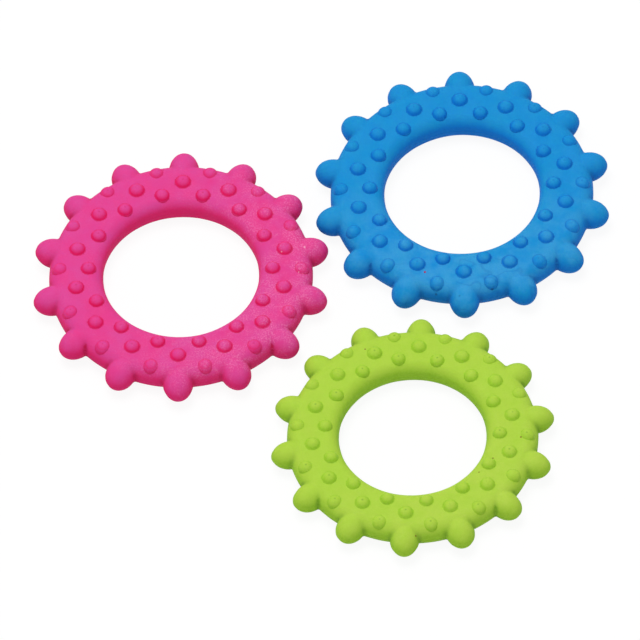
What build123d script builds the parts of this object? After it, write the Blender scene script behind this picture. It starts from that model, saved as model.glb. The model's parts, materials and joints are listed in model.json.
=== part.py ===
# A set of three moulded rubber chew rings for a dog, lying side by side on a table.
#
# Each ring is one solid rubber moulding: a round-edged band with ball-ended knobs round its rim and
# three staggered rows of round bumps on its upper face. The underside of the band is plain.
# All three rings have the same design. Lengths are in millimetres and angles in degrees. +Z is up,
# and the origin is on the table under the middle of the set.
from build123d import *

import os
from math import acos, asin, cos, degrees, radians, sin

# Band of the ring
band_width = 18.0  # of the rubber between the hole and the rim
band_thickness = 10.2
hole_land = 1.6  # height of the straight wall between the hole's two rounded edges
rim_land = 0.6  # height of the straight wall at the parting line, between the rim's rounded edges

# Knobs round the rim: a ball as thick as the band, which tapers to a smaller nose
knob_count = 14
knob_span = 100.0  # across the noses of opposite knobs
knob_projection = 6.0  # how far the noses stand out from the band's rim
knob_ball_inset = 0.6  # how far the ball's centre lies inside the rim
knob_nose_diameter = 8.4
knob_root_fillet = 1.0

# Bumps on the upper face: the middle row is in line with the knobs, the others halfway between
bump_ball_diameter = 5.7
bump_height = 1.5
inner_row_inset = 4.7  # from the wall of the hole
outer_row_inset = 3.8  # from the band's rim
outer_row_drop = 0.4  # the outer row stands this much lower, on the edge of the rounded rim

# How the three rings lie: the gaps are between the circles round their knobs
green_span = 94.2  # across the green ring's knobs, a smaller copy of the other two
pink_blue_gap = -0.8  # these two circles overlap, and the knobs stand side by side
pink_green_gap = 4.7
blue_green_gap = 3.0
blue_bearing = 16.5  # the way from the pink ring to the blue one, from +X towards +Y
pink_turn = 3.3  # clockwise turn of the knob at the back from +Y
blue_turn = 1.6
green_turn = 6.3

# What follows from the sizes above
band_diameter = knob_span - 2 * knob_projection
hole_diameter = band_diameter - 2 * band_width
knob_ball_diameter = band_thickness
inner_row_diameter = hole_diameter + 2 * inner_row_inset
outer_row_diameter = band_diameter - 2 * outer_row_inset
middle_row_diameter = (inner_row_diameter + outer_row_diameter) / 2
green_size = green_span / knob_span
face_height = band_thickness / 2  # above the mould's parting plane
hole_edge_radius = (band_thickness - hole_land) / 2
rim_edge_radius = (band_thickness - rim_land) / 2
hole_radius = hole_diameter / 2
band_radius = band_diameter / 2
knob_reach = knob_span / 2
ball_radius = knob_ball_diameter / 2
ball_place = band_radius - knob_ball_inset
nose_radius = knob_nose_diameter / 2
nose_place = knob_reach - nose_radius
bump_radius = bump_ball_diameter / 2
pitch = 360 / knob_count

# One knob, lying along +X with its ball sunk in the band
knob_taper = degrees(asin((ball_radius - nose_radius) / (nose_place - ball_place)))
with BuildPart() as knob:
    with BuildSketch(Plane.XZ):
        with BuildLine():
            nose = CenterArc((nose_place, 0), nose_radius, 0, 90 - knob_taper)
            ball = CenterArc((ball_place, 0), ball_radius, 90 - knob_taper, 90 + knob_taper)
            Line(nose @ 1, ball @ 0)
            Line(ball @ 1, nose @ 0)
        make_face()
    revolve(axis=Axis.X)

# The moulding that all three rings share, with its parting plane at z = 0 and +X between two knobs
with BuildPart() as moulding:
    with BuildSketch(Plane.XZ):
        with BuildLine():
            hole_edge = CenterArc(
                (hole_radius + hole_edge_radius, hole_land / 2), hole_edge_radius, 90, 90
            )
            Line((hole_radius, 0), hole_edge @ 1)
            rim_edge = CenterArc(
                (band_radius - rim_edge_radius, rim_land / 2), rim_edge_radius, 0, 90
            )
            Line((band_radius, 0), rim_edge @ 0)
            Line(rim_edge @ 1, hole_edge @ 0)
            mirror(about=Plane.XZ)
        make_face()
    revolve(axis=Axis.Z)

    with PolarLocations(0, knob_count, start_angle=pitch / 2):
        add(knob.part)
    fillet(moulding.edges(Select.NEW), knob_root_fillet)

    for row_diameter, first_angle, drop in (
        (inner_row_diameter, 0, 0),
        (middle_row_diameter, pitch / 2, 0),
        (outer_row_diameter, 0, outer_row_drop),
    ):
        with Locations((0, 0, face_height + bump_height - drop - bump_radius)):
            with PolarLocations(row_diameter / 2, knob_count, start_angle=first_angle):
                Sphere(bump_radius)


def along(angle, distance):
    """The point at a distance from the origin, at an angle from +X towards +Y."""
    return Vector(distance * cos(radians(angle)), distance * sin(radians(angle)))


def farthest(heading, turn, size):
    """How far a ring's knobs reach from its centre towards a heading."""
    angles = [90 - turn - heading + pitch * index for index in range(knob_count)]
    lean = max(cos(radians(angle)) for angle in angles)
    return size * max(nose_place * lean + nose_radius, ball_place * lean + ball_radius)


# The three centres are the corners of a triangle that the gaps set
pink_blue = knob_reach + knob_reach + pink_blue_gap
pink_green = knob_reach + knob_reach * green_size + pink_green_gap
blue_green = knob_reach + knob_reach * green_size + blue_green_gap
pink_corner = degrees(
    acos((pink_blue**2 + pink_green**2 - blue_green**2) / (2 * pink_blue * pink_green))
)
pink_centre = Vector(0, 0)
blue_centre = along(blue_bearing, pink_blue)
green_centre = along(blue_bearing - pink_corner, pink_green)

# The middle of the set's footprint
rings = (
    (pink_centre, pink_turn, 1),
    (blue_centre, blue_turn, 1),
    (green_centre, green_turn, green_size),
)
right = max(centre.X + farthest(0, turn, size) for centre, turn, size in rings)
back = max(centre.Y + farthest(90, turn, size) for centre, turn, size in rings)
left = min(centre.X - farthest(180, turn, size) for centre, turn, size in rings)
front = min(centre.Y - farthest(270, turn, size) for centre, turn, size in rings)
middle = Vector(left + right, front + back) / 2


def ring_plane(centre, turn, size):
    """The plane of a ring's parting line, with its x axis half a pitch from the knob at the back."""
    spot = centre - middle
    return Plane(
        origin=(spot.X, spot.Y, face_height * size),
        x_dir=along(90 - turn - pitch / 2, 1),
        z_dir=(0, 0, 1),
    )


with BuildPart(ring_plane(pink_centre, pink_turn, 1)) as pink_ring:
    add(moulding.part)
pink_ring.part.label = "pink_ring"

with BuildPart(ring_plane(blue_centre, blue_turn, 1)) as blue_ring:
    add(moulding.part)
blue_ring.part.label = "blue_ring"

with BuildPart(ring_plane(green_centre, green_turn, green_size)) as green_ring:
    add(scale(moulding.part, by=green_size, mode=Mode.PRIVATE))
green_ring.part.label = "green_ring"

os.makedirs("parts", exist_ok=True)
export_step(pink_ring.part, "parts/pink_ring.step")
export_step(blue_ring.part, "parts/blue_ring.step")
export_step(green_ring.part, "parts/green_ring.step")
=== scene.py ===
"""Three loose rubber chew rings on a white floor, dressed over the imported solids.

One ring is modelled as a blank at the origin, with its parting plane at z = 0. It is then copied to
the three places that the frame gives and finished in its own rubber. Lengths are in metres, except
in the finishes, whose patterns are laid out in millimetres from a ring's middle.
"""

import json
import logging
import math
from contextlib import contextmanager
from dataclasses import dataclass
from enum import Enum
from typing import Any, Callable, Iterator

import bpy
import numpy as np
from mathutils import Matrix, Vector


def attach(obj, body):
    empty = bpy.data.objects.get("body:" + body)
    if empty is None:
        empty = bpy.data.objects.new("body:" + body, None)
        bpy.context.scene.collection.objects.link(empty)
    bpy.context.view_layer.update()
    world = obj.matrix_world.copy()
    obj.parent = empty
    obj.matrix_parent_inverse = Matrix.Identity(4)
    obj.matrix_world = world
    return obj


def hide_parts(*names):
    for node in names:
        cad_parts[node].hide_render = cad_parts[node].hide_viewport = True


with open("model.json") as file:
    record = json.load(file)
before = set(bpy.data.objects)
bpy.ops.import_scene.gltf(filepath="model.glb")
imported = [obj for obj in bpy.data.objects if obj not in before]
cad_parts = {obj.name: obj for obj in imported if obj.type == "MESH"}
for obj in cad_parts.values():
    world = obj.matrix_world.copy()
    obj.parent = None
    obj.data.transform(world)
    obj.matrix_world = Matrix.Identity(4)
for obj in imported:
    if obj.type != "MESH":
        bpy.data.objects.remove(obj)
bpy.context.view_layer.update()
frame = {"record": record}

log = logging.getLogger("chew_rings")

MM = 0.001
IMAGE_SIDE = 640  # pixels, each way
SENSOR_WIDTH = 36.0
FOOT_SHADE = "bump_foot_shade"  # attribute for painted shade, which rises to 1 where a bump meets the face
ROOT_SHADE = "knob_root_shade"  # attribute for painted shade, which rises to 1 in the corners beside the knobs
TIP = "bump_tip"  # attribute that is 1 at the very top of a bump
NOISE_MIDDLE = 0.5  # the value that a noise pattern varies about

Triple = tuple[float, float, float]
Span = tuple[float, float]

WHITE: Triple = (1.0, 1.0, 1.0)


def srgb(red: int, green: int, blue: int) -> Triple:
    """Turn a colour written in screen values of 0 to 255 into linear light.

    Args:
        red: Red, 0 to 255.
        green: Green, 0 to 255.
        blue: Blue, 0 to 255.

    Returns:
        The three linear values, 0 to 1.
    """
    def linear(value: int) -> float:
        """Follow the standard curve of screen colours."""
        share = value / 255
        return share / 12.92 if share <= 0.04045 else ((share + 0.055) / 1.055) ** 2.4

    return linear(red), linear(green), linear(blue)


class Bench:
    """The modelling bench: selection, edit mode and modifiers, as worked by hand."""

    @staticmethod
    def only(*pieces: bpy.types.Object) -> None:
        """Select some pieces alone.

        Args:
            pieces: The pieces, of which the first one becomes active.
        """
        bpy.ops.object.select_all(action="DESELECT")
        for piece in pieces:
            piece.select_set(True)
        bpy.context.view_layer.objects.active = pieces[0]

    @staticmethod
    def added(name: str) -> bpy.types.Object:
        """Name the piece that was just added and put its place into its mesh.

        Args:
            name: The name that the piece gets.

        Returns:
            The piece.
        """
        piece = bpy.context.object
        piece.name = piece.data.name = name
        Bench.only(piece)
        bpy.ops.object.transform_apply(location=True, rotation=True, scale=True)
        return piece

    @staticmethod
    @contextmanager
    def editing(piece: bpy.types.Object) -> Iterator[None]:
        """Keep a piece in edit mode, all of it selected, for the length of a with block.

        Args:
            piece: The piece, whose vertices are what is picked.

        Yields:
            Nothing.
        """
        Bench.only(piece)
        bpy.context.tool_settings.mesh_select_mode = (True, False, False)
        bpy.ops.object.mode_set(mode="EDIT")
        bpy.ops.mesh.select_all(action="SELECT")
        yield
        bpy.ops.object.mode_set(mode="OBJECT")

    @staticmethod
    def corners(piece: bpy.types.Object) -> np.ndarray:
        """Read the places of a piece's vertices.

        Args:
            piece: The piece.

        Returns:
            The places, one row each.
        """
        places = np.empty(len(piece.data.vertices) * 3)
        piece.data.vertices.foreach_get("co", places)
        return places.reshape(-1, 3)

    @staticmethod
    def neighbours(piece: bpy.types.Object) -> Callable[[np.ndarray], np.ndarray]:
        """Make a function that takes a value for each vertex and gives the mean of those around it.

        Args:
            piece: The piece whose edges say which vertices are neighbours.

        Returns:
            The function.
        """
        ends = np.empty(len(piece.data.edges) * 2, dtype=np.int32)
        piece.data.edges.foreach_get("vertices", ends)
        one, other = ends.reshape(-1, 2).T
        here = np.concatenate((one, other))
        there = np.concatenate((other, one))
        count = len(piece.data.vertices)
        ways = np.bincount(here, minlength=count)
        return lambda values: np.bincount(here, values[there], count) / ways

    @staticmethod
    def mark(piece: bpy.types.Object, name: str, values: np.ndarray) -> None:
        """Write a value for each vertex on a piece's mesh, for its finish to read."""
        layer = piece.data.attributes.new(name, "FLOAT", "POINT")
        layer.data.foreach_set("value", values.astype(np.float32))

    @staticmethod
    def pick(piece: bpy.types.Object, wanted: Callable[[np.ndarray], np.ndarray]) -> None:
        """Select the vertices of a piece in edit mode by their places.

        Args:
            piece: The piece that is being edited.
            wanted: Takes the vertices' places, one row each, and says which are picked.
        """
        bpy.ops.mesh.select_all(action="DESELECT")
        bpy.ops.object.mode_set(mode="OBJECT")
        piece.data.vertices.foreach_set("select", wanted(Bench.corners(piece)))
        bpy.ops.object.mode_set(mode="EDIT")

    @staticmethod
    def turn(axis: str, degrees: float) -> None:
        """Turn what is selected in edit mode about an axis through the origin."""
        bpy.ops.transform.rotate(
            value=math.radians(degrees), orient_axis=axis, center_override=(0, 0, 0)
        )

    @staticmethod
    def repeat_round(count: int) -> None:
        """Copy what is selected in edit mode round the z axis, so that there are count of it."""
        turn = 2 * math.pi * (count - 1) / count
        bpy.ops.mesh.spin(
            steps=count - 1, dupli=True, angle=turn, center=(0, 0, 0), axis=(0, 0, 1)
        )

    @staticmethod
    def modify(piece: bpy.types.Object, kind: str, **settings: Any) -> None:
        """Add a modifier to a piece, set it and apply it.

        Args:
            piece: The piece.
            kind: The modifier's type.
            settings: The modifier's settings, by name.
        """
        Bench.only(piece)
        bpy.ops.object.modifier_add(type=kind)
        modifier = piece.modifiers[-1]
        for name, value in settings.items():
            setattr(modifier, name, value)
        bpy.ops.object.modifier_apply(modifier=modifier.name)

    @staticmethod
    def join(*pieces: bpy.types.Object) -> bpy.types.Object:
        """Join pieces into one.

        Args:
            pieces: The pieces, of which the first one takes in the others.

        Returns:
            The joined piece.
        """
        Bench.only(*pieces)
        bpy.ops.object.join()
        return pieces[0]


@dataclass(frozen=True)
class BumpRow:
    """One row of bumps on the upper face."""

    radius: float
    half_pitch: bool  # whether the row stands halfway between the knobs
    ball: float = 2.7 * MM  # radius of the ball that a dome is part of
    rise: float = 1.7 * MM  # how far the domes stand above the face


@dataclass(frozen=True)
class RingBlank:
    """One moulded ring at full size, modelled at the origin with a knob along +X."""

    hole_radius: float = 26.0 * MM
    hole_land: float = 1.6 * MM
    band_radius: float = 44.0 * MM
    band_thickness: float = 10.2 * MM
    rim_land: float = 0.6 * MM

    knob_count: int = 14
    knob_radius: float = 5.1 * MM
    knob_place: float = 43.4 * MM
    knob_reach: float = 50.1 * MM

    rows: tuple[BumpRow, ...] = (
        BumpRow(30.7 * MM, True),
        BumpRow(35.45 * MM, False, 2.9 * MM, 1.8 * MM),
        BumpRow(40.2 * MM, True, 2.8 * MM, 1.05 * MM),
    )

    edge_steps: int = 14
    round_steps: int = 168
    knob_segments: int = 40
    knob_rings: int = 24
    bump_segments: int = 32
    bump_rings: int = 16
    same_place: float = 0.01 * MM  # how close two places count as one
    skin: float = 0.45 * MM  # size of the skin's faces
    softening: int = 1  # how many times the corners at the knobs' roots are smoothed
    soft_share: float = 0.5  # how far each time takes a corner to the middle of those around it
    crease: float = 35.0  # degrees between faces from which a corner stays sharp
    seam_height: float = 0.24 * MM

    hollow_floor: float = 0.015  # bend from which a corner counts as hollow, in sizes of a face
    knob_angle: float = 8.5  # degrees to each side of a knob's middle that belong to it
    root_spread: int = 10  # how far the painted shade at a knob's root runs, in faces
    root_gain: float = 40.0
    root_fade: Span = (2.2 * MM, 4.7 * MM)  # heights over which it fades away
    faint_foot_radius: float = 37.5 * MM  # the bumps outside this have fainter painted shade at their feet
    faint_foot_share: float = 0.6  # the share of painted shade that is left at their feet
    tip_height: float = 0.02 * MM  # how close to a bump's full height its tip is

    @property
    def face(self) -> float:
        """Height of the upper face above the parting plane."""
        return self.band_thickness / 2

    def band(self) -> bpy.types.Object:
        """Spin the band's rounded section round the hole.

        Returns:
            The plain band.
        """
        width = self.band_radius - self.hole_radius
        middle = (self.band_radius + self.hole_radius) / 2
        bpy.ops.object.select_all(action="DESELECT")
        bpy.ops.mesh.primitive_plane_add(
            size=1, location=(middle, 0, 0), rotation=(math.pi / 2, 0, 0)
        )
        bpy.context.object.scale = (width, self.band_thickness, 1)
        band = Bench.added("band")
        with Bench.editing(band):
            bpy.ops.mesh.delete(type="ONLY_FACE")
            for wall, land in (
                (self.hole_radius, self.hole_land),
                (self.band_radius, self.rim_land),
            ):
                Bench.pick(band, lambda at: np.isclose(at[:, 0], wall, atol=self.same_place))
                bpy.ops.mesh.bevel(
                    offset=(self.band_thickness - land) / 2,
                    segments=self.edge_steps,
                    profile=0.5,
                    affect="VERTICES",
                )
            bpy.ops.mesh.select_all(action="SELECT")
            bpy.ops.mesh.spin(
                steps=self.round_steps, angle=2 * math.pi, center=(0, 0, 0), axis=(0, 0, 1)
            )
            bpy.ops.mesh.select_all(action="SELECT")
            bpy.ops.mesh.remove_doubles(threshold=self.same_place)
            bpy.ops.mesh.normals_make_consistent(inside=False)
        return band

    def knobs(self) -> bpy.types.Object:
        """Draw a ball out along the radius to an egg and repeat it round the rim.

        Returns:
            All the knobs as one piece.
        """
        bpy.ops.object.select_all(action="DESELECT")
        bpy.ops.mesh.primitive_uv_sphere_add(
            segments=self.knob_segments,
            ring_count=self.knob_rings,
            radius=self.knob_radius,
            location=(self.knob_place, 0, 0),
            rotation=(0, math.pi / 2, 0),
        )
        knobs = Bench.added("knobs")
        stretch = (self.knob_reach - self.knob_place) / self.knob_radius
        with Bench.editing(knobs):
            bpy.ops.transform.resize(
                value=(stretch, 1, 1), center_override=(self.knob_place, 0, 0)
            )
            Bench.repeat_round(self.knob_count)
        return knobs

    def bumps(self, row: BumpRow) -> bpy.types.Object:
        """Sink a ball in the band so that a dome stands out, and repeat it round the ring.

        Args:
            row: The row.

        Returns:
            The row of bumps as one piece.
        """
        bpy.ops.object.select_all(action="DESELECT")
        bpy.ops.mesh.primitive_uv_sphere_add(
            segments=self.bump_segments,
            ring_count=self.bump_rings,
            radius=row.ball,
            location=(row.radius, 0, self.face + row.rise - row.ball),
        )
        bumps = Bench.added("bumps")
        with Bench.editing(bumps):
            if row.half_pitch:
                Bench.turn("Z", 180 / self.knob_count)
            Bench.repeat_round(self.knob_count)
        return bumps

    def body(self) -> bpy.types.Object:
        """Give the band and the knobs one closed skin and soften the corners where they meet.

        Returns:
            The ring without its bumps.
        """
        ring = Bench.join(self.band(), self.knobs())
        Bench.modify(ring, "REMESH", mode="VOXEL", voxel_size=self.skin, adaptivity=0)
        Bench.modify(ring, "SMOOTH", factor=self.soft_share, iterations=self.softening)
        return ring

    def round_places(self, places: np.ndarray) -> tuple[np.ndarray, np.ndarray]:
        """Say how far places are from the ring's axis and from the nearest knob.

        Args:
            places: The places, one row each.

        Returns:
            The distances from the axis, and the angles to the middle of the nearest knob.
        """
        pitch = 2 * math.pi / self.knob_count
        angle = np.arctan2(places[:, 1], places[:, 0])
        aside = np.abs((angle + pitch / 2) % pitch - pitch / 2)
        return np.hypot(places[:, 0], places[:, 1]), aside

    def knob_roots(self, ring: bpy.types.Object) -> np.ndarray:
        """Find the hollow corners beside the knobs for painted shade, and let it run out and fade
        upwards.

        Args:
            ring: The ring with its bumps.

        Returns:
            For each vertex, how much painted shade it gets for lying deep in such a corner, 0 to 1.
        """
        around = Bench.neighbours(ring)
        places = Bench.corners(ring)
        normals = np.empty(places.size)
        ring.data.vertices.foreach_get("normal", normals)
        middle = np.stack([around(column) for column in places.T], axis=-1)
        bend = ((middle - places) * normals.reshape(-1, 3)).sum(axis=1) / self.skin
        away, aside = self.round_places(places)
        beside = (aside < math.radians(self.knob_angle)) & (away > self.rows[-1].radius)
        roots = np.maximum(bend - self.hollow_floor, 0) * beside
        for _ in range(self.root_spread):
            roots = (roots + around(roots)) / 2
        fade = np.interp(places[:, 2], self.root_fade, (1, 0))
        return np.minimum(roots * self.root_gain * fade, 1)

    def bump_feet(self, ring: bpy.types.Object) -> np.ndarray:
        """Find the sharp corners where the bumps meet the face, for painted shade.

        Args:
            ring: The ring with its bumps.

        Returns:
            For each vertex, the share of painted shade that it gets, 0 away from such a corner.
        """
        with Bench.editing(ring):
            bpy.ops.mesh.select_all(action="DESELECT")
            bpy.ops.mesh.select_mode(type="EDGE")
            bpy.ops.mesh.edges_select_sharp(sharpness=math.radians(self.crease))
        sharp = np.zeros(len(ring.data.vertices), dtype=bool)
        ring.data.vertices.foreach_get("select", sharp)
        away, aside = self.round_places(Bench.corners(ring))
        faint_feet = (away > self.faint_foot_radius) & (aside > math.radians(self.knob_angle))
        return sharp * np.where(faint_feet, self.faint_foot_share, 1.0)

    def bump_tips(self, ring: bpy.types.Object) -> np.ndarray:
        """Find the very tops of the bumps.

        Args:
            ring: The ring with its bumps.

        Returns:
            For each vertex, whether it is one.
        """
        tops = [self.face + row.rise for row in self.rows]
        heights = Bench.corners(ring)[:, 2:]
        return np.isclose(heights, tops, rtol=0, atol=self.tip_height).any(axis=1)

    def mark_shade_and_vents(self, ring: bpy.types.Object) -> None:
        """Write down on the mesh where painted shade goes, beside the knobs and at the bumps' feet,
        and where the vent marks are, at the bumps' tips.

        Args:
            ring: The ring with its bumps.
        """
        marks = {ROOT_SHADE: self.knob_roots, FOOT_SHADE: self.bump_feet, TIP: self.bump_tips}
        for name, find in marks.items():
            Bench.mark(ring, name, find(ring))

    def seam(self, ring: bpy.types.Object, lift: float) -> None:
        """Raise the thin line that the two halves of the mould leave at the parting plane.

        Args:
            ring: A copy of the blank, still at the origin.
            lift: How far the line stands out.
        """
        line = ring.vertex_groups.new(name="parting_line")
        near = np.flatnonzero(np.abs(Bench.corners(ring)[:, 2]) < self.seam_height)
        line.add(near.tolist(), 1.0, "REPLACE")
        Bench.modify(ring, "DISPLACE", strength=lift, mid_level=0, vertex_group=line.name)
        ring.vertex_groups.clear()

    def build(self) -> bpy.types.Object:
        """Model the whole blank.

        Returns:
            The blank, which the rings are copied from.
        """
        ring = self.body()
        bumps = Bench.join(*(self.bumps(row) for row in self.rows))
        Bench.modify(ring, "BOOLEAN", operation="UNION", solver="EXACT", object=bumps)
        bpy.data.objects.remove(bumps)
        self.mark_shade_and_vents(ring)
        Bench.only(ring)
        bpy.ops.object.shade_smooth_by_angle(angle=math.radians(self.crease))
        return ring


class Wire:
    """A shader socket that takes part in Python arithmetic."""

    def __init__(self, sheet: "ShaderSheet", socket: bpy.types.NodeSocket) -> None:
        """Wrap an output socket of a shader sheet."""
        self.sheet = sheet
        self.socket = socket

    def __add__(self, other: "Wire | float") -> "Wire":
        """Add a value."""
        return self.sheet.maths("ADD", self, other)

    __radd__ = __add__

    def __mul__(self, other: "Wire | float") -> "Wire":
        """Multiply by a value."""
        return self.sheet.maths("MULTIPLY", self, other)

    __rmul__ = __mul__

    def __sub__(self, other: "Wire | float") -> "Wire":
        """Take a value away."""
        return self.sheet.maths("SUBTRACT", self, other)

    def __rsub__(self, other: "Wire | float") -> "Wire":
        """Take this away from a value."""
        return self.sheet.maths("SUBTRACT", other, self)

    def __lt__(self, other: "Wire | float") -> "Wire":
        """Give 1 where this is under a value, and 0 elsewhere."""
        return self.sheet.maths("LESS_THAN", self, other)

    def __abs__(self) -> "Wire":
        """Give the size without its sign."""
        return self.sheet.maths("ABSOLUTE", self)

    def between(self, low: float, high: float) -> "Wire":
        """Rise smoothly from 0 at low to 1 at high.

        Args:
            low: Where the rise starts.
            high: Where it ends, which may be under low for a fall.

        Returns:
            The eased value.
        """
        if high < low:
            return 1 - self.between(high, low)
        settings = {"interpolation_type": "SMOOTHSTEP"}
        sockets = {"Value": self, "From Min": low, "From Max": high}
        return self.sheet.node("ShaderNodeMapRange", settings, sockets)["Result"]


@dataclass(frozen=True)
class Noise:
    """The make of a noise pattern, whose values run from about 0.25 to 0.75."""

    scale: float  # features to a millimetre
    detail: float = 2  # how many finer layers there are
    roughness: float = 0.5  # how strong the finer layers are


class ShaderSheet:
    """The nodes of one material, or of the world."""

    def __init__(self, owner: bpy.types.Material | bpy.types.World) -> None:
        """Clear the owner's nodes and start afresh.

        Args:
            owner: The material or the world.
        """
        owner.use_nodes = True
        self.tree = owner.node_tree
        self.tree.nodes.clear()

    def node(
        self,
        kind: str,
        settings: dict[str, Any] | None = None,
        sockets: dict[str | int, Any] | None = None,
    ) -> dict[str | int, Wire]:
        """Add a node.

        Args:
            kind: The node's type.
            settings: The node's own settings, which are set first.
            sockets: Values or wires for its input sockets, by name or number.

        Returns:
            The node's outputs by name and by number.
        """
        made = self.tree.nodes.new(kind)
        for name, value in (settings or {}).items():
            setattr(made, name, value)
        for key, value in (sockets or {}).items():
            if isinstance(value, Wire):
                self.tree.links.new(value.socket, made.inputs[key])
            else:
                made.inputs[key].default_value = value
        outputs: dict[str | int, Wire] = {}
        for number, socket in enumerate(made.outputs):
            outputs[number] = Wire(self, socket)
            if socket.enabled:
                outputs[socket.name] = outputs[number]
        return outputs

    def maths(self, operation: str, *values: Wire | float) -> Wire:
        """Add a Math node on values."""
        return self.node("ShaderNodeMath", {"operation": operation}, dict(enumerate(values)))[0]

    def blend(self, share: Wire | float, one: Any, other: Any) -> Wire:
        """Mix two colours.

        Args:
            share: How much of the second colour there is, 0 to 1.
            one: The first colour or a wire that carries it.
            other: The second colour or a wire that carries it.

        Returns:
            The mixed colour.
        """
        factor, first, second = 0, 6, 7  # the colour sockets of a Mix node
        sockets = {factor: share, first: self.opaque(one), second: self.opaque(other)}
        return self.node("ShaderNodeMix", {"data_type": "RGBA"}, sockets)["Result"]

    @staticmethod
    def opaque(colour: Any) -> Any:
        """Give a plain colour its fourth value, and leave a wire as it is."""
        return colour if isinstance(colour, Wire) else (*colour, 1.0)

    def mark(self, name: str) -> Wire:
        """Read a value that is written on the mesh."""
        return self.node("ShaderNodeAttribute", {"attribute_name": name})["Fac"]

    def part(self, vector: Wire, axis: str) -> Wire:
        """Give the X, Y or Z of a vector."""
        return self.node("ShaderNodeSeparateXYZ", None, {0: vector})[axis]

    def noise(self, at: Wire, make: Noise) -> Wire:
        """Add a noise pattern.

        Args:
            at: The place on the piece, in millimetres.
            make: The make of the pattern.

        Returns:
            The noise value.
        """
        sockets = {
            "Vector": at,
            "Scale": make.scale,
            "Detail": make.detail,
            "Roughness": make.roughness,
        }
        return self.node("ShaderNodeTexNoise", None, sockets)[0]

    def specks(self, at: Wire, spacing: float, size: float, share: float) -> Wire:
        """Scatter small round specks.

        Args:
            at: The place on the piece, in millimetres.
            spacing: The average distance between the places where a speck may be.
            size: The largest radius of a speck, in millimetres.
            share: The share of those places that has one.

        Returns:
            1 in a speck and 0 elsewhere.
        """
        sockets = {"Vector": at, "Scale": 1 / spacing}
        cells = self.node("ShaderNodeTexVoronoi", None, sockets)
        chosen = self.node("ShaderNodeSeparateColor", None, {0: cells["Color"]})
        reach = (size / spacing) * chosen["Green"]
        return (cells["Distance"] < reach) * (chosen["Red"] < share)

    def plain_rays(self) -> Wire:
        """Tell the rays that look at the backdrop itself from those that light the object.

        Returns:
            1 for rays that look at it, and 0 for the others.
        """
        rays = self.node("ShaderNodeLightPath")
        seen = self.maths("MAXIMUM", rays["Is Camera Ray"], rays["Is Glossy Ray"])
        return self.maths("MAXIMUM", seen, rays["Is Transmission Ray"])


class Speck(Enum):
    """The colour of the small specks in a rubber."""

    PALE = srgb(246, 226, 236)
    BROWN = srgb(120, 84, 40)
    RED = srgb(160, 12, 66)
    INK = srgb(24, 58, 96)


@dataclass(frozen=True)
class Stray:
    """One stray speck on a ring."""

    place: Triple  # millimetres from the ring's middle
    colour: Speck
    radius: float = 0.42
    strength: float = 0.9
    core: float = 0.5  # the share of its radius that has the full strength

    def cover(self, sheet: ShaderSheet, at: Wire) -> Wire:
        """Draw the speck.

        Args:
            sheet: The material's nodes.
            at: The place on the ring, in millimetres from its middle.

        Returns:
            How much of the speck there is, 0 to 1.
        """
        settings = {"operation": "DISTANCE"}
        away = sheet.node("ShaderNodeVectorMath", settings, {0: at, 1: self.place})["Value"]
        return away.between(self.radius, self.radius * self.core) * self.strength


@dataclass(frozen=True)
class RubberTexture:
    """What the three rubbers have alike. Lengths are in millimetres.

    A span gives the values of a pattern, or of a direction or height, at which something starts and
    is full. How far a surface looks up is 1 where it lies flat and 0 on an upright wall.
    """

    grain: Noise = Noise(1.7, 3, 0.6)
    mottle: Noise = Noise(0.5)
    grain_tone: float = 1.4  # how much the grain changes the tone
    mottle_tone: float = 0.8
    tone_span: Span = (-0.3, 0.3)  # from the deep tone to the body's own
    grain_relief: float = 0.5  # the grain's share of the relief, beside the mottling
    relief_strength: float = 0.3
    relief_depth: float = 0.15
    grain_dulling: float = 0.2  # how much rougher the surface gets with the grain
    film_dulling: float = 0.2

    settling_and_sheen_span: Span = (0.2, 0.85)  # how far a side looks up to take on film and painted sheen
    clouds: Noise = Noise(0.11, 4, 0.6)
    cloud_span: Span = (0.3, 0.7)
    cloud_share: float = 0.25  # how much of the film and painted sheen comes and goes in clouds

    powder: Noise = Noise(2.0, 2, 0.6)
    powder_span: Span = (0.4, 0.75)
    patches: Noise = Noise(0.16, 3, 0.6)
    patch_span: Span = (0.3, 0.65)
    fleck_reach: Span = (-20.0, 40.0)  # where the flecks grow dense, along the way to their side
    fleck_least: float = 0.15  # the share of them that the other side has

    flow: Noise = Noise(0.13, 1)
    flow_width: float = 0.035  # half the width of a flow line, in values of the pattern
    flow_patches: Noise = Noise(0.06, 1)
    flow_patch_span: Span = (0.42, 0.55)
    flow_front: Span = (-24.0, -34.0)  # y from which there are flow lines

    dome_heights: Span = (4.9, 5.4)  # from the face to the domes
    dome_side_span: Span = (0.95, 0.4)  # how far a dome's side looks up where its painted shade starts and is full
    foot_share: float = 0.75  # how dark the painted shade at the feet of the bumps is
    seam_heights: Span = (0.3, 0.1)  # from the parting plane
    vents: Noise = Noise(0.3, 0)
    vent_span: Span = (0.49, 0.57)
    speck_spacing: float = 6.0
    speck_radius: float = 0.5
    speck_strength: float = 0.8


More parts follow.
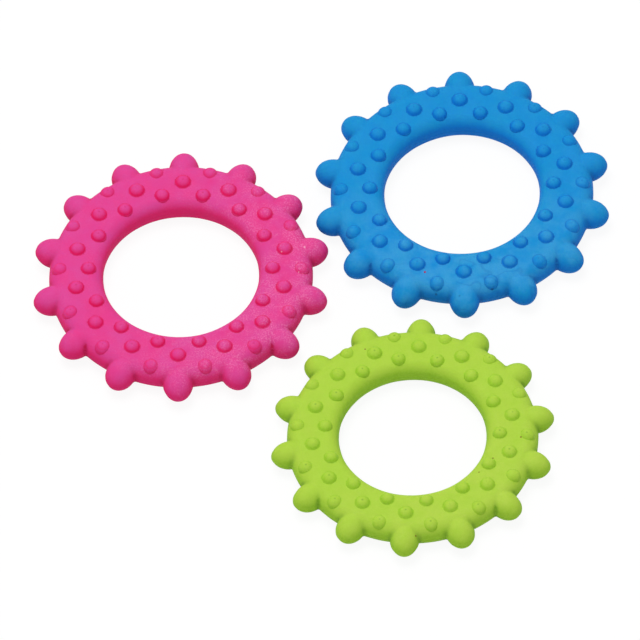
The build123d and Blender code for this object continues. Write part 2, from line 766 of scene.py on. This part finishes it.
@dataclass(frozen=True)
class RubberFinish:
    """Matte moulded rubber in one colour, with grain, a film with painted sheen, pale flecks,
    painted shade at the bumps and knobs, a darker seam, vent marks and specks.
    """

    name: str
    body: Triple
    deep: Triple  # the darker tone of the mottling
    shade: Triple  # painted shade at the feet and on the sides of the bumps; also the tone of the parting line and the flow lines
    depth: Triple  # painted shade in the corners beside the knobs; also the tone of the vent marks
    film_and_sheen: Triple  # a dull film on the faces that look up, partly painted sheen: it paints those faces paler and lighter than the steep sides
    film_and_sheen_share: float
    fleck: Triple
    fleck_share: float
    fleck_side: float  # the side with the most flecks, in degrees from +X towards +Y
    fleck_grain: float  # how far the flecks stand apart, from 0 for an even haze to 1
    speck: Speck
    speck_share: float
    scatter: Triple  # how far red, green and blue light go inside the rubber, in millimetres
    strays: tuple[Stray, ...] = ()
    swirl_share: float = 0.0
    seam_share: float = 0.15  # how dark the parting line is
    root_share: float = 0.5  # how dark the painted shade in the corners beside the knobs is
    steep_film_and_sheen: float = 0.25  # the share of the film and painted sheen that the steep sides keep, so that they look shaded
    dome_film_and_sheen: float = 0.4  # how far a dome's side has to look up to take on film and painted sheen
    dome_shade: float = 0.25  # how much painted shade the domes' sides have
    tip_share: float = 0.4  # how dark the vent marks on some of the bumps are
    roughness: float = 0.58
    specular: float = 0.1
    scatter_share: float = 0.15
    texture: RubberTexture = RubberTexture()

    def material(self, centre: Vector) -> bpy.types.Material:
        """Make the material for a ring.

        Args:
            centre: The middle of the ring, which the pattern is laid out from.

        Returns:
            The material.
        """
        rubber = bpy.data.materials.new(self.name)
        sheet = ShaderSheet(rubber)
        texture = self.texture
        surface = sheet.node("ShaderNodeTexCoord")
        mapping = {
            "Vector": surface["Object"],
            "Location": tuple(-value / MM for value in centre),
            "Scale": (1 / MM, 1 / MM, 1 / MM),
        }
        at = sheet.node("ShaderNodeMapping", None, mapping)["Vector"]
        upward = sheet.part(surface["Normal"], "Z")
        grain = sheet.noise(at, texture.grain)
        mottle = sheet.noise(at, texture.mottle)
        film_and_sheen = self.film_and_sheen_cover(sheet, at, upward)
        colour = self.clean_colour(sheet, grain, mottle)
        # film with painted sheen: paints the faces that look up paler and lighter than the steep
        # sides
        colour = sheet.blend(film_and_sheen, colour, self.film_and_sheen)
        colour = sheet.blend(self.fleck_cover(sheet, at, upward), colour, self.fleck)
        if self.swirl_share:
            colour = sheet.blend(self.swirls(sheet, at), colour, self.shade)
        # painted shade at the bumps and beside the knobs, with the darker seam and the vent marks
        colour = self.add_shade_and_marks(sheet, at, upward, colour)
        colour = self.specked(sheet, at, colour)
        relief = {
            "Height": grain * texture.grain_relief + mottle * (1 - texture.grain_relief),
            "Strength": texture.relief_strength,
            "Distance": texture.relief_depth * MM,
        }
        dulling = (grain - NOISE_MIDDLE) * texture.grain_dulling + film_and_sheen * texture.film_dulling
        shader = {
            "Base Color": colour,
            "Roughness": self.roughness + dulling,
            "Normal": sheet.node("ShaderNodeBump", None, relief)["Normal"],
            "Specular IOR Level": self.specular,
            "Subsurface Weight": self.scatter_share,
            "Subsurface Radius": tuple(reach * MM for reach in self.scatter),
            "Subsurface Scale": 1.0,
        }
        finish = sheet.node("ShaderNodeBsdfPrincipled", None, shader)["BSDF"]
        sheet.node("ShaderNodeOutputMaterial", None, {"Surface": finish})
        return rubber

    def clean_colour(self, sheet: ShaderSheet, grain: Wire, mottle: Wire) -> Wire:
        """Colour the bare rubber.

        Args:
            sheet: The material's nodes.
            grain: The pattern of the grain.
            mottle: The pattern of the mottling.

        Returns:
            The colour.
        """
        fine = (grain - NOISE_MIDDLE) * self.texture.grain_tone
        broad = (mottle - NOISE_MIDDLE) * self.texture.mottle_tone
        tone = (fine + broad).between(*self.texture.tone_span)
        return sheet.blend(tone, self.deep, self.body)

    def settling_and_sheen(self, sheet: ShaderSheet, at: Wire, upward: Wire) -> Wire:
        """Tell where film and powder settle and where the painted sheen lies: on the faces that look
        up, and off the domes' sides.

        Args:
            sheet: The material's nodes.
            at: The place on the ring, in millimetres from its middle.
            upward: How far the surface looks up, 1 where it lies flat.

        Returns:
            How much settles, and how strong the painted sheen is, 0 to 1.
        """
        domes = sheet.part(at, "Z").between(*self.texture.dome_heights)
        level = upward.between(*self.texture.settling_and_sheen_span)
        sides = self.steep_film_and_sheen + level * (1 - self.steep_film_and_sheen)
        return sides * (1 - domes) + upward.between(self.dome_film_and_sheen, 1.0) * domes

    def film_and_sheen_cover(self, sheet: ShaderSheet, at: Wire, upward: Wire) -> Wire:
        """Lay the dull film and painted sheen in soft clouds.

        Args:
            sheet: The material's nodes.
            at: The place on the ring, in millimetres from its middle.
            upward: How far the surface looks up, 1 where it lies flat.

        Returns:
            How much film and painted sheen there is, 0 to 1.
        """
        share = self.texture.cloud_share
        cloud = sheet.noise(at, self.texture.clouds).between(*self.texture.cloud_span)
        film_and_sheen = (cloud * share + (1 - share)) * self.film_and_sheen_share
        return film_and_sheen * self.settling_and_sheen(sheet, at, upward)

    def fleck_cover(self, sheet: ShaderSheet, at: Wire, upward: Wire) -> Wire:
        """Scatter pale powdery flecks, most of them on one side of the ring.

        Args:
            sheet: The material's nodes.
            at: The place on the ring, in millimetres from its middle.
            upward: How far the surface looks up, 1 where it lies flat.

        Returns:
            How much fleck there is, 0 to 1.
        """
        texture = self.texture
        heading = math.radians(self.fleck_side)
        towards = (math.cos(heading), math.sin(heading), 0)
        settings = {"operation": "DOT_PRODUCT"}
        side = sheet.node("ShaderNodeVectorMath", settings, {0: at, 1: towards})["Value"]
        grain = sheet.noise(at, texture.powder).between(*texture.powder_span)
        powder = (1 - self.fleck_grain) + grain * self.fleck_grain
        patch = sheet.noise(at, texture.patches).between(*texture.patch_span)
        least = texture.fleck_least
        dense = side.between(*texture.fleck_reach) * (1 - least) + least
        return powder * patch * dense * self.fleck_share * self.settling_and_sheen(sheet, at, upward)

    def swirls(self, sheet: ShaderSheet, at: Wire) -> Wire:
        """Draw the faint lines where the rubber flowed together in the mould.

        Args:
            sheet: The material's nodes.
            at: The place on the ring, in millimetres from its middle.

        Returns:
            How strong a line is, 0 to 1.
        """
        texture = self.texture
        front = sheet.part(at, "Y").between(*texture.flow_front)
        flow = sheet.noise(at, texture.flow)
        lines = abs(flow - NOISE_MIDDLE).between(texture.flow_width, 0.0)
        patch = sheet.noise(at, texture.flow_patches).between(*texture.flow_patch_span)
        return lines * patch * front * self.swirl_share

    def add_shade_and_marks(self, sheet: ShaderSheet, at: Wire, upward: Wire, colour: Wire) -> Wire:
        """Paint shade on the domes' sides, at their feet and beside the knobs, darken the seam and
        add the vent marks at the tips.

        Args:
            sheet: The material's nodes.
            at: The place on the ring, in millimetres from its middle.
            upward: How far the surface looks up, 1 where it lies flat.
            colour: The colour under the painted shade and marks.

        Returns:
            The colour with the painted shade and marks.
        """
        texture = self.texture
        height = sheet.part(at, "Z")
        sides = height.between(*texture.dome_heights) * upward.between(*texture.dome_side_span)
        # painted shade on the domes' sides
        colour = sheet.blend(sides * self.dome_shade, colour, self.shade)
        seam = abs(height).between(*texture.seam_heights) * self.seam_share
        # painted shade at the bumps' feet; the parting line is darkened with it
        colour = sheet.blend(sheet.mark(FOOT_SHADE) * texture.foot_share + seam, colour, self.shade)
        vented = sheet.noise(at, texture.vents).between(*texture.vent_span)
        colour = sheet.blend(sheet.mark(TIP) * vented * self.tip_share, colour, self.depth)
        # painted shade in the corners beside the knobs
        return sheet.blend(sheet.mark(ROOT_SHADE) * self.root_share, colour, self.depth)

    def specked(self, sheet: ShaderSheet, at: Wire, colour: Wire) -> Wire:
        """Scatter specks over the rubber and add the stray ones.

        Args:
            sheet: The material's nodes.
            at: The place on the ring, in millimetres from its middle.
            colour: The colour under the specks.

        Returns:
            The colour with the specks.
        """
        texture = self.texture
        specks = sheet.specks(at, texture.speck_spacing, texture.speck_radius, self.speck_share)
        colour = sheet.blend(specks * texture.speck_strength, colour, self.speck.value)
        for stray in self.strays:
            colour = sheet.blend(stray.cover(sheet, at), colour, stray.colour.value)
        return colour


@dataclass
class ChewRing:
    """One ring of the set, in its place and in its own rubber."""

    colour: str
    turn: float  # degrees that the knob at the back is turned clockwise from +Y
    finish: RubberFinish
    seam_lift: float = 0.1 * MM
    unevenness: float = 0.16 * MM  # how far the skin sinks in places
    swell: float = 11.0 * MM  # how wide those places are

    @property
    def hole(self) -> dict[str, Any]:
        """The ring's hole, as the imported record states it."""
        mounts = frame["record"]["mounts"]
        return next(mount for mount in mounts if mount["name"] == f"{self.colour}_hole")

    def build(self, blank: bpy.types.Object, pattern: RingBlank) -> bpy.types.Object:
        """Copy the blank to the ring's place and finish it.

        Args:
            blank: The modelled ring.
            pattern: The sizes that it was modelled to.

        Returns:
            The finished ring.
        """
        Bench.only(blank)
        bpy.ops.object.duplicate(linked=False)
        ring = bpy.context.object
        pattern.seam(ring, self.seam_lift)
        centre = Vector(self.hole["pos_m"])
        size = self.hole["dims"]["r_mm"] * MM / pattern.hole_radius
        ring.scale = (size, size, size)
        ring.rotation_euler = (0, 0, math.radians(90 - self.turn))
        ring.location = centre
        Bench.added(f"{self.colour}_chew_ring")
        self.uneven(ring)
        ring.data.materials.clear()
        ring.data.materials.append(self.finish.material(centre))
        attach(ring, self.colour)
        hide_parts(f"{self.colour}_ring")
        return ring

    def uneven(self, ring: bpy.types.Object) -> None:
        """Let the skin sink a little in places, as moulded rubber does.

        Args:
            ring: The ring in its place.
        """
        swells = bpy.data.textures.new(f"{self.colour}_swells", "CLOUDS")
        swells.noise_scale = self.swell
        Bench.modify(
            ring,
            "DISPLACE",
            texture=swells,
            texture_coords="LOCAL",
            strength=-self.unevenness,
            mid_level=0,
        )


@dataclass
class Studio:
    """The white floor, the soft light and the camera."""

    aim: Triple = (-1.9 * MM, -5.4 * MM, 10.9 * MM)
    elevation: float = 54.6
    roll: float = 2.88
    distance: float = 4.369
    focal_pixels: float = 13160.0
    sight: float = 100.0  # how far the camera sees
    floor_side: float = 12.0
    floor_glow: float = 0.92  # how much of the floor's white does not depend on the light
    floor_bounce: float = 0.7  # how much of the light that reaches it the floor throws back
    sky: float = 0.5
    lamp_place: Triple = (-0.22, 0.35, 1.6)
    lamp_side: float = 0.9
    lamp_watts: float = 17.3
    fill_place: Triple = (0.0, -1.2, 0.5)
    fill_side: float = 0.8
    fill_watts: float = 1.0

    def floor(self) -> None:
        """Lay the white floor, which keeps a soft shadow."""
        bpy.ops.object.select_all(action="DESELECT")
        bpy.ops.mesh.primitive_plane_add(size=self.floor_side)
        floor = Bench.added("floor")
        card = bpy.data.materials.new("white_card")
        sheet = ShaderSheet(card)
        seen = sheet.plain_rays()
        tone = sheet.blend(seen, (self.floor_bounce,) * 3, WHITE)
        paper = sheet.node("ShaderNodeBsdfDiffuse", None, {"Color": tone})[0]
        light = {"Color": sheet.opaque(WHITE), "Strength": 1.0}
        glow = sheet.node("ShaderNodeEmission", None, light)[0]
        share = seen * self.floor_glow
        mixed = sheet.node("ShaderNodeMixShader", None, {0: share, 1: paper, 2: glow})[0]
        sheet.node("ShaderNodeOutputMaterial", None, {"Surface": mixed})
        floor.data.materials.append(card)

    @staticmethod
    def lamp(name: str, place: Triple, side: float, watts: float) -> None:
        """Hang a soft square lamp that looks at the origin.

        Args:
            name: The lamp's name.
            place: Where it hangs.
            side: Length of its side.
            watts: Its power.
        """
        data = bpy.data.lights.new(name, "AREA")
        data.shape = "SQUARE"
        data.size = side
        data.energy = watts
        lamp = bpy.data.objects.new(name, data)
        lamp.location = place
        lamp.rotation_euler = Vector(place).to_track_quat("Z", "Y").to_euler()
        lamp.visible_camera = False
        bpy.context.scene.collection.objects.link(lamp)

    def light(self) -> None:
        """Hang a large soft lamp over the set and a weak one in front, under a dim white sky."""
        self.lamp("softbox", self.lamp_place, self.lamp_side, self.lamp_watts)
        self.lamp("fill", self.fill_place, self.fill_side, self.fill_watts)
        world = bpy.data.worlds.new("white_sky")
        bpy.context.scene.world = world
        sheet = ShaderSheet(world)
        level = self.sky + sheet.plain_rays() * (1 - self.sky)
        backdrop = {"Color": sheet.opaque(WHITE), "Strength": level}
        surface = sheet.node("ShaderNodeBackground", None, backdrop)["Background"]
        sheet.node("ShaderNodeOutputWorld", None, {"Surface": surface})

    def camera(self) -> None:
        """Set the camera at the photograph's angle, from far off with a long lens."""
        data = bpy.data.cameras.new("camera")
        data.sensor_width = SENSOR_WIDTH
        data.lens = self.focal_pixels / IMAGE_SIDE * SENSOR_WIDTH
        data.clip_end = self.sight
        camera = bpy.data.objects.new("camera", data)
        rise = math.radians(self.elevation)
        back = Vector((0, -math.cos(rise), math.sin(rise)))
        tilt = Matrix.Rotation(math.pi / 2 - rise, 3, "X")
        roll = Matrix.Rotation(-math.radians(self.roll), 3, "Z")
        camera.rotation_euler = (tilt @ roll).to_euler()
        camera.location = Vector(self.aim) + back * self.distance
        bpy.context.scene.collection.objects.link(camera)
        bpy.context.scene.camera = camera

    def build(self) -> None:
        """Set up the whole studio."""
        self.floor()
        self.light()
        self.camera()
        bpy.context.scene.view_settings.view_transform = "Standard"


RINGS: tuple[ChewRing, ...] = (
    ChewRing(
        "pink",
        3.3,
        RubberFinish(
            name="pink_rubber",
            body=srgb(241, 18, 105),
            deep=srgb(236, 13, 96),
            shade=srgb(198, 8, 66),
            depth=srgb(176, 6, 60),
            film_and_sheen=srgb(210, 75, 155),
            film_and_sheen_share=0.8,
            steep_film_and_sheen=0.35,
            fleck=srgb(238, 140, 190),
            fleck_share=0.6,
            fleck_side=-20.0,
            fleck_grain=0.9,
            speck=Speck.PALE,
            speck_share=0.05,
            scatter=(0.6, 0.12, 0.2),
            strays=(
                Stray((41.6, 6.2, 4.9), Speck.PALE, 0.45, 0.4),
                Stray((33.9, 4.1, 5.8), Speck.PALE, 0.35, 0.35),
                Stray((39.2, -4.2, 5.2), Speck.PALE, 0.35, 0.35),
            ),
        ),
    ),
    ChewRing(
        "blue",
        1.6,
        RubberFinish(
            name="blue_rubber",
            body=srgb(6, 127, 219),
            deep=srgb(2, 117, 211),
            shade=srgb(4, 84, 166),
            depth=srgb(10, 88, 164),
            film_and_sheen=srgb(22, 147, 196),
            film_and_sheen_share=0.7,
            steep_film_and_sheen=0.15,
            fleck=srgb(100, 182, 222),
            fleck_share=0.3,
            fleck_side=-90.0,
            fleck_grain=0.3,
            speck=Speck.PALE,
            speck_share=0.03,
            scatter=(0.12, 0.25, 0.5),
            swirl_share=0.22,
            strays=(
                Stray((-13.9, -34.8, 5.1), Speck.RED, 0.5, 1.0),
                Stray((8.1, -42.0, 3.5), Speck.INK, 0.7, 0.5),
                Stray((-10.6, -42.3, 2.3), Speck.INK, 0.6, 0.5),
                Stray((-2.9, -44.9, 4.7), Speck.INK, 0.5, 0.3),
            ),
        ),
    ),
    ChewRing(
        "green",
        6.3,
        RubberFinish(
            name="green_rubber",
            body=srgb(161, 209, 57),
            deep=srgb(150, 201, 40),
            shade=srgb(138, 190, 26),
            depth=srgb(96, 143, 38),
            film_and_sheen=srgb(177, 205, 75),
            film_and_sheen_share=0.7,
            fleck=srgb(204, 216, 104),
            fleck_share=0.25,
            fleck_side=-45.0,
            fleck_grain=0.6,
            speck=Speck.BROWN,
            speck_share=0.03,
            scatter=(0.7, 0.9, 0.2),
            seam_share=0.5,
            dome_shade=0.0,
            tip_share=0.7,
            strays=(
                Stray((35.6, -5.3, 4.8), Speck.BROWN),
                Stray((26.0, -13.2, 4.8), Speck.BROWN, 0.35),
                Stray((21.1, -18.5, 4.8), Speck.BROWN, 0.35),
                Stray((-14.2, 33.3, 4.8), Speck.BROWN, 0.35),
                Stray((-0.7, -41.4, 2.9), Speck.BROWN, 0.5),
            ),
        ),
        seam_lift=0.22 * MM,
    ),
)


def main() -> None:
    """Model the blank, finish the three rings from it and set up the studio."""
    logging.basicConfig(level=logging.INFO, format="%(name)s: %(message)s")
    pattern = RingBlank()
    blank = pattern.build()
    for ring in RINGS:
        piece = ring.build(blank, pattern)
        log.info("%s: %d faces", piece.name, len(piece.data.polygons))
    bpy.data.objects.remove(blank)
    Studio().build()


if __name__ == "__main__":
    main()
